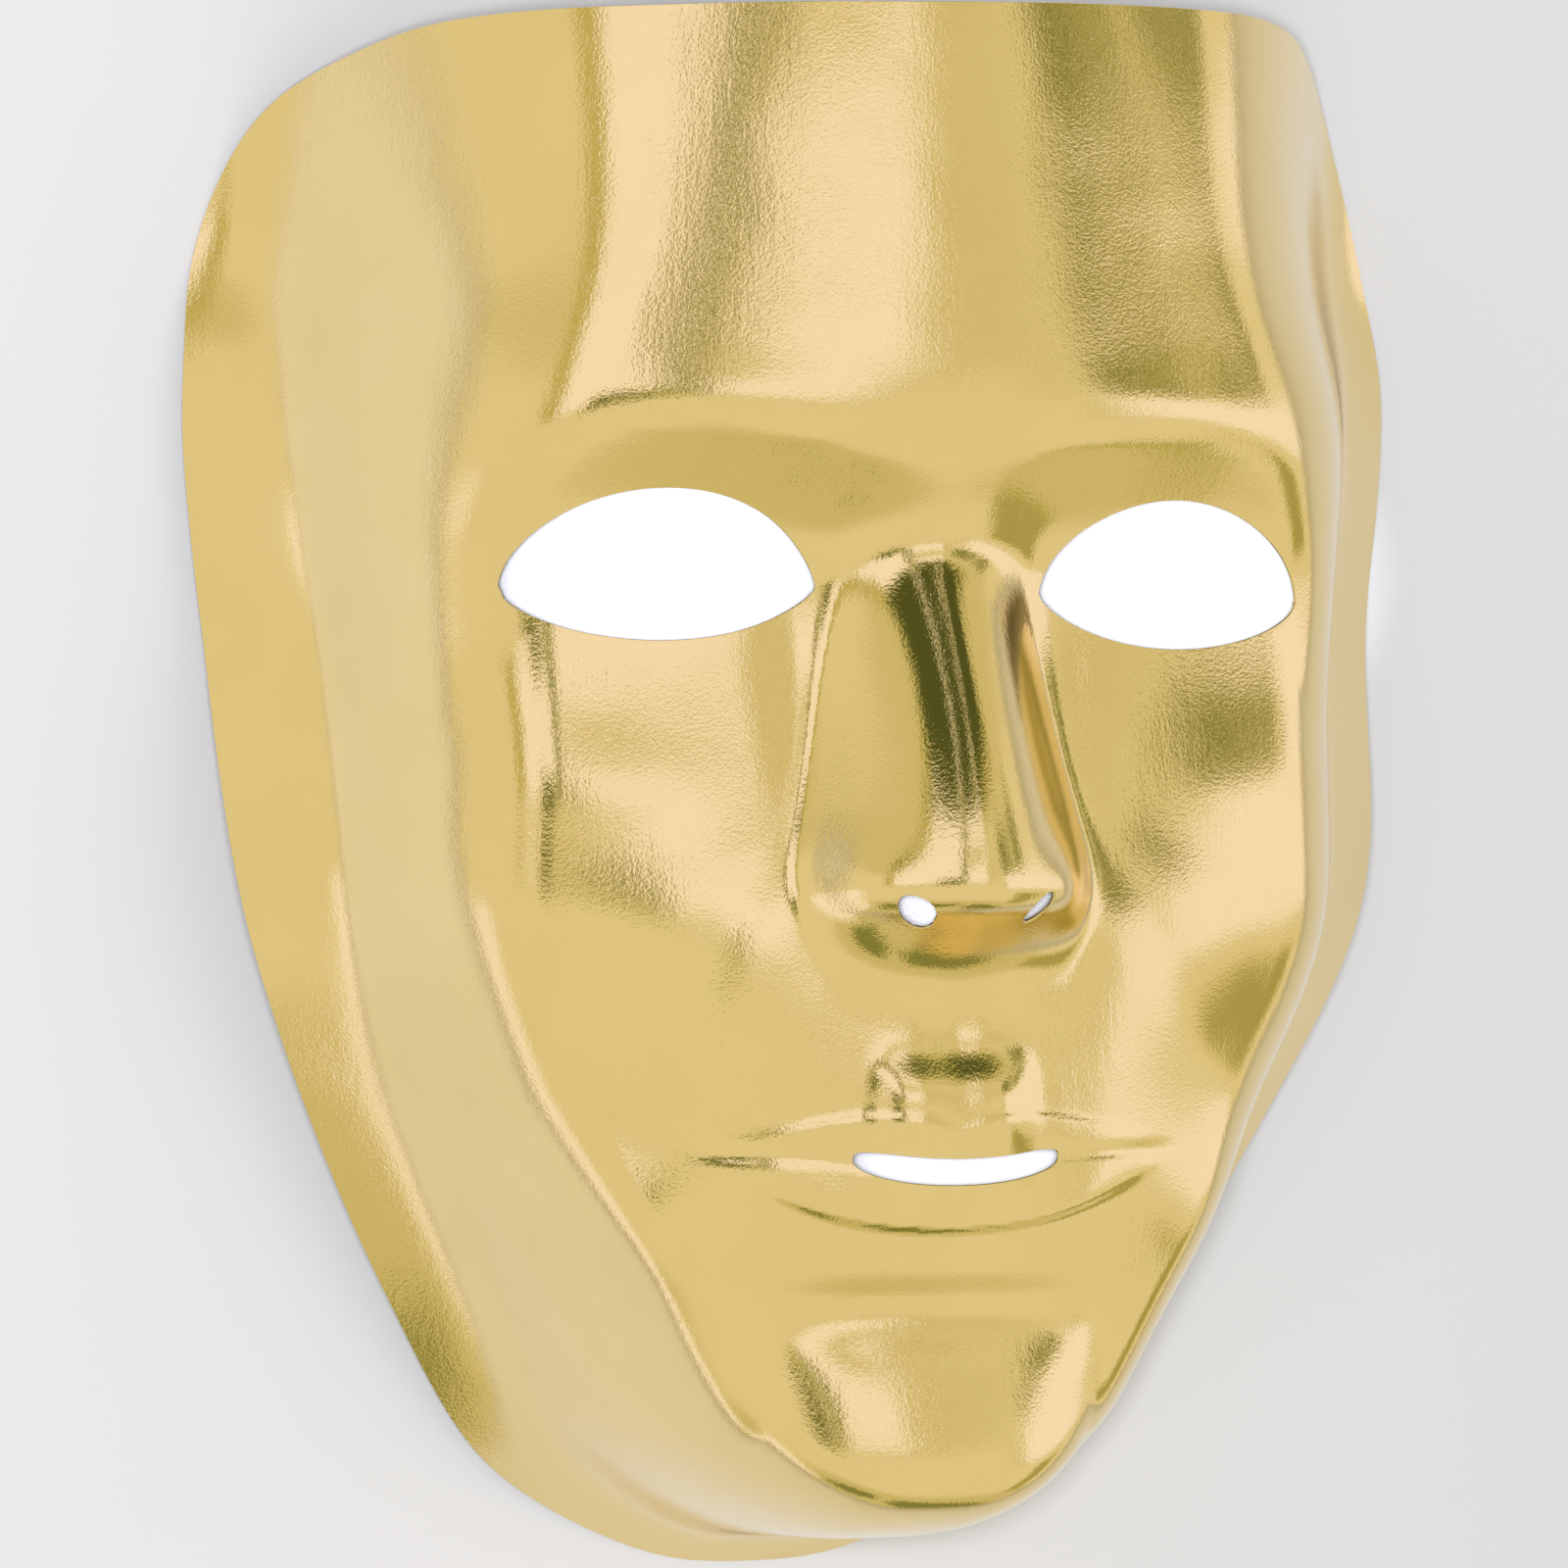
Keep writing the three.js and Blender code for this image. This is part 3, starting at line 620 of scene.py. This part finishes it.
def bump(nodes, links, height, depth, before):
    node = nodes.new("ShaderNodeBump")
    node.inputs["Strength"].default_value = 1
    node.inputs["Distance"].default_value = depth
    links.new(height, node.inputs["Height"])
    if before is not None:
        links.new(before, node.inputs["Normal"])
    return node.outputs[0]


def spread(nodes, links, value, before, after):
    """Maps a noise between its low and high marks to a range."""
    node = nodes.new("ShaderNodeMapRange")
    links.new(value, node.inputs["Value"])
    names = ("From Min", "From Max", "To Min", "To Max")
    for name, number in zip(names, (before.low, before.high, *after)):
        node.inputs[name].default_value = number
    return node.outputs[0]


# Front: mirror gold with slow waves, fine drawing lines and orange peel, all depths in metres
GOLD = Form(
    name="gold_film", metallic=1, ior=1.45,
    tint=Form(scale=45, detail=4, roughness=0.6, low=0.35, high=0.65),
    colours=((0.855, 0.68, 0.33, 1), (0.88, 0.705, 0.355, 1)),
    haze=Form(scale=70, detail=5, roughness=0.65, low=0.38, high=0.72), haze_range=(0.05, 0.1),
    grains=(
        Form(scale=55, detail=1, roughness=0.5, depth=0.00022, stretch=None),
        Form(scale=900, detail=3, roughness=0.6, depth=0.000018, stretch=(1, 0.12, 0.5)),
        Form(scale=2300, detail=2, roughness=0.6, depth=0.000027, stretch=None),
    ),
)
# Back: the same film seen through matt plastic
INNER = Form(
    name="inner_film", metallic=0.9, ior=1.5,
    tint=Form(scale=60, detail=5, roughness=0.6, low=0.35, high=0.7),
    colours=((0.6, 0.5, 0.27, 1), (0.74, 0.63, 0.38, 1)),
    haze=Form(scale=110, detail=5, roughness=0.6, low=0.35, high=0.7), haze_range=(0.34, 0.55),
    grains=(Form(scale=1100, detail=3, roughness=0.6, depth=0.00005, stretch=None),),
)


def film(look):
    """Metallised film: its colour and haze vary softly, and each grain is a bump on the one before."""
    material, nodes, links, shader = new_material(look.name)
    place = nodes.new("ShaderNodeTexCoord").outputs["Object"]
    shader.inputs["Metallic"].default_value = look.metallic
    shader.inputs["IOR"].default_value = look.ior
    tint = nodes.new("ShaderNodeValToRGB")
    ends = (look.tint.low, look.tint.high)
    for stop, at, colour in zip(tint.color_ramp.elements, ends, look.colours):
        stop.position = at
        stop.color = colour
    links.new(noise(nodes, links, place, look.tint), tint.inputs[0])
    links.new(tint.outputs[0], shader.inputs["Base Color"])
    haze = spread(nodes, links, noise(nodes, links, place, look.haze), look.haze, look.haze_range)
    links.new(haze, shader.inputs["Roughness"])
    surface = None
    for grain in look.grains:
        spot = stretched(nodes, links, place, grain.stretch) if grain.stretch else place
        surface = bump(nodes, links, noise(nodes, links, spot, grain), grain.depth, surface)
    links.new(surface, shader.inputs["Normal"])
    return material


# Floor of matt paper, a little blue against the warm sky; half its side in metres
FLOOR_HALF = 6
FLOOR_COLOUR = (0.6, 0.612, 0.69, 1)
FLOOR_ROUGHNESS = 0.9


def make_floor():
    mesh = bpy.data.meshes.new("floor")
    corners = [(x * FLOOR_HALF, y * FLOOR_HALF, 0) for x, y in ((-1, -1), (1, -1), (1, 1), (-1, 1))]
    mesh.from_pydata(corners, [], [(0, 1, 2, 3)])
    material, _, _, shader = new_material("floor_paper")
    shader.inputs["Base Color"].default_value = FLOOR_COLOUR
    shader.inputs["Roughness"].default_value = FLOOR_ROUGHNESS
    mesh.materials.append(material)
    floor = bpy.data.objects.new("floor", mesh)
    bpy.context.scene.collection.objects.link(floor)


# Camera: turn about the mask's length, tip towards the forehead and roll, in degrees
YAW = 22.077
TIP = 4.870
ROLL = -2.090
# Its distance and sideways shift in millimetres, and the picture's pixels per millimetre at the origin
DISTANCE = 1156.46
OFFSET = (-1.509, -0.654)
SCALE = 7.2950
PICTURE = 1600
SENSOR = 36
CLIP_END = 100


def make_camera(shift):
    a, e, r = (math.radians(v) for v in (YAW, TIP, ROLL))
    toward = np.array([-math.sin(a) * math.cos(e), math.sin(e), math.cos(a) * math.cos(e)])
    level = np.array([math.cos(a), 0, math.sin(a)])
    upright = np.cross(toward, level)
    right = math.cos(r) * level - math.sin(r) * upright
    up = math.sin(r) * level + math.cos(r) * upright
    place = DISTANCE * toward - OFFSET[0] * right - OFFSET[1] * up + shift
    data = bpy.data.cameras.new("camera")
    data.sensor_width = SENSOR
    data.lens = SENSOR * SCALE * DISTANCE / PICTURE
    data.clip_end = CLIP_END
    camera = bpy.data.objects.new("camera", data)
    turn = Matrix(np.stack([right, up, toward], 1).tolist()).to_4x4()
    camera.matrix_world = Matrix.Translation(Vector(place * MM)) @ turn
    bpy.context.scene.collection.objects.link(camera)
    bpy.context.scene.camera = camera


# Studio round the mask, as places in its sky: lon turns from straight up towards +X, lat tips towards
# +Y, in degrees. Each has its lon and lat range, softness of its edge and level of light.
TENT = 0.62
SKY = [
    ("shaded_tent", (-180, 180), (29, 90), 5, 0.46),
    ("shaded_front", (-90, 90), (-90, -44), 8, 0.42),
    ("dark_opening", (-51, 58), (36, 90), 4, 0.03),
    ("ridge_line", (-11, -8), (38, 70), 0.8, 0.85),
    ("ridge_line_far", (11, 14), (38, 70), 0.8, 0.7),
    ("grey_card", (22, 36), (11, 26), 4, 0.5),
    ("left_strip", (-89, -77), (-60, -6), 2.5, 1),
    ("far_low_card", (57, 78), (-45, -11), 3, 0.24),
    ("left_rim", (-53, 22), (8, 37), 1.2, 0.3),
    ("far_rim", (39, 91), (-4, 10), 1.2, 0.38),
    ("left_box", (-44, 19.5), (9.3, 36), 0.8, 1),
    ("far_box", (42, 90), (-3, 14), 0.8, 1),
    ("dark_card", (40, 70), (15, 28), 1, 0.15),
    ("slit_one", (48.5, 50), (14, 29), 1, 0.55),
    ("slit_two", (55, 59), (14, 29), 1.5, 0.6),
    ("slit_three", (64, 65), (14, 29), 0.8, 0.6),
    ("seam", (-4, 17), (23, 29), 0.6, 0.45),
    ("strut", (-10, -4.5), (9, 36), 1.6, 0.12),
    ("front_gap", (-70, 90), (-78, -60), 2, 0.15),
    ("brow_card", (2, 26), (-80, -57), 2, 0.42),
    ("low_card", (-27, -11), (7, 15), 2, 0.08),
]
# Colour of each level of light
SKY_COLOURS = [
    (0, (0.055, 0.07, 0.02)),
    (0.15, (0.25, 0.27, 0.09)),
    (0.3, (0.585, 0.53, 0.22)),
    (0.62, (0.842, 0.79, 0.61)),
    (1, (1.05, 0.995, 1.12)),
]
SKY_STRENGTH = 1.13
# How far a card's corners are rounded, in degrees
CARD_CORNER = 3
BACKDROP = (0.93, 0.93, 0.93)


def make_world():
    world = bpy.data.worlds.new("studio")
    bpy.context.scene.world = world
    world.use_nodes = True
    nodes, links = world.node_tree.nodes, world.node_tree.links
    background = nodes["Background"]

    def maths(operation, *values):
        node = nodes.new("ShaderNodeMath")
        node.operation = operation
        for socket, value in zip(node.inputs, values):
            if isinstance(value, (int, float)):
                socket.default_value = value
            else:
                links.new(value, socket)
        return node.outputs[0]

    def outside(value, low, high):
        """How far a value lies outside a range, below zero inside."""
        from_middle = maths("ABSOLUTE", maths("SUBTRACT", value, (low + high) / 2))
        return maths("SUBTRACT", from_middle, (high - low) / 2)

    split = nodes.new("ShaderNodeSeparateXYZ")
    links.new(nodes.new("ShaderNodeTexCoord").outputs["Generated"], split.inputs[0])
    lon = maths("DEGREES", maths("ARCTAN2", split.outputs[0], split.outputs[2]))
    lat = maths("DEGREES", maths("ARCSINE", split.outputs[1]))
    light = TENT
    for name, lons, lats, soft, level in SKY:
        past = maths("SMOOTH_MAX", outside(lon, *lons), outside(lat, *lats), CARD_CORNER)
        edge = nodes.new("ShaderNodeMapRange")
        edge.label = name
        edge.interpolation_type = "SMOOTHSTEP"
        links.new(past, edge.inputs["Value"])
        edge.inputs["From Min"].default_value = soft
        edge.inputs["From Max"].default_value = -soft
        keep = maths("SUBTRACT", 1, edge.outputs[0])
        light = maths("ADD", maths("MULTIPLY", light, keep), maths("MULTIPLY", edge.outputs[0], level))
    ramp = nodes.new("ShaderNodeValToRGB")
    links.new(light, ramp.inputs[0])
    stops = ramp.color_ramp.elements
    while len(stops) < len(SKY_COLOURS):
        stops.new(0.5)
    for stop, (at, colour) in zip(stops, SKY_COLOURS):
        stop.position = at
        stop.color = [c / SKY_STRENGTH for c in colour] + [1]
    links.new(ramp.outputs[0], background.inputs["Color"])
    background.inputs["Strength"].default_value = SKY_STRENGTH
    plain = nodes.new("ShaderNodeBackground")
    plain.inputs["Color"].default_value = (*BACKDROP, 1)
    seen = nodes.new("ShaderNodeLightPath")
    mix = nodes.new("ShaderNodeMixShader")
    links.new(seen.outputs["Is Camera Ray"], mix.inputs[0])
    links.new(background.outputs[0], mix.inputs[1])
    links.new(plain.outputs[0], mix.inputs[2])
    links.new(mix.outputs[0], nodes["World Output"].inputs[0])


# Lamps at the camera: a broad one for the floor, and narrow ones that light the floor through the
# openings; reflections don't show them
LAMP_PLACE = (-0.434, 0.098, 1.07)
BROAD_SIZE = 0.12
BROAD_POWER = 9.4
NARROW_POWER = 95
NARROW_SIZE = 0.01
NARROW_BLEND = 0.02
# Each opening's middle and the radius of its light, in millimetres
OPENING_LIGHTS = [
    ("left_eye", (-37.8, 33, 54), 23),
    ("right_eye", (35.6, 33, 54), 21.8),
    ("nostrils", (0, -9, 71), 14),
    ("mouth", (1, -44, 68), 18),
]


def hang(lamp, aim):
    place = Vector(LAMP_PLACE)
    turn = (place - Vector(aim)).to_track_quat("Z", "Y")
    lamp.matrix_world = Matrix.Translation(place) @ turn.to_matrix().to_4x4()
    lamp.visible_camera = False
    lamp.visible_glossy = False
    bpy.context.scene.collection.objects.link(lamp)


def make_lamps():
    broad = bpy.data.lights.new("floor_lamp", "AREA")
    broad.shape = "DISK"
    broad.size = BROAD_SIZE
    broad.energy = BROAD_POWER
    hang(bpy.data.objects.new("floor_lamp", broad), (0, 0, 0))
    for name, middle, radius in OPENING_LIGHTS:
        aim = Vector(middle) * MM
        narrow = bpy.data.lights.new(name + "_lamp", "SPOT")
        narrow.spot_size = 2 * math.atan(radius * MM / (Vector(LAMP_PLACE) - aim).length)
        narrow.spot_blend = NARROW_BLEND
        narrow.shadow_soft_size = NARROW_SIZE
        narrow.energy = NARROW_POWER
        hang(bpy.data.objects.new(name + "_lamp", narrow), aim)


mask, shift = make_mask()
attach(mask, "root")
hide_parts("mask_shell")
make_floor()
make_camera(shift)
make_world()
make_lamps()
bpy.context.scene.view_settings.view_transform = "Standard"
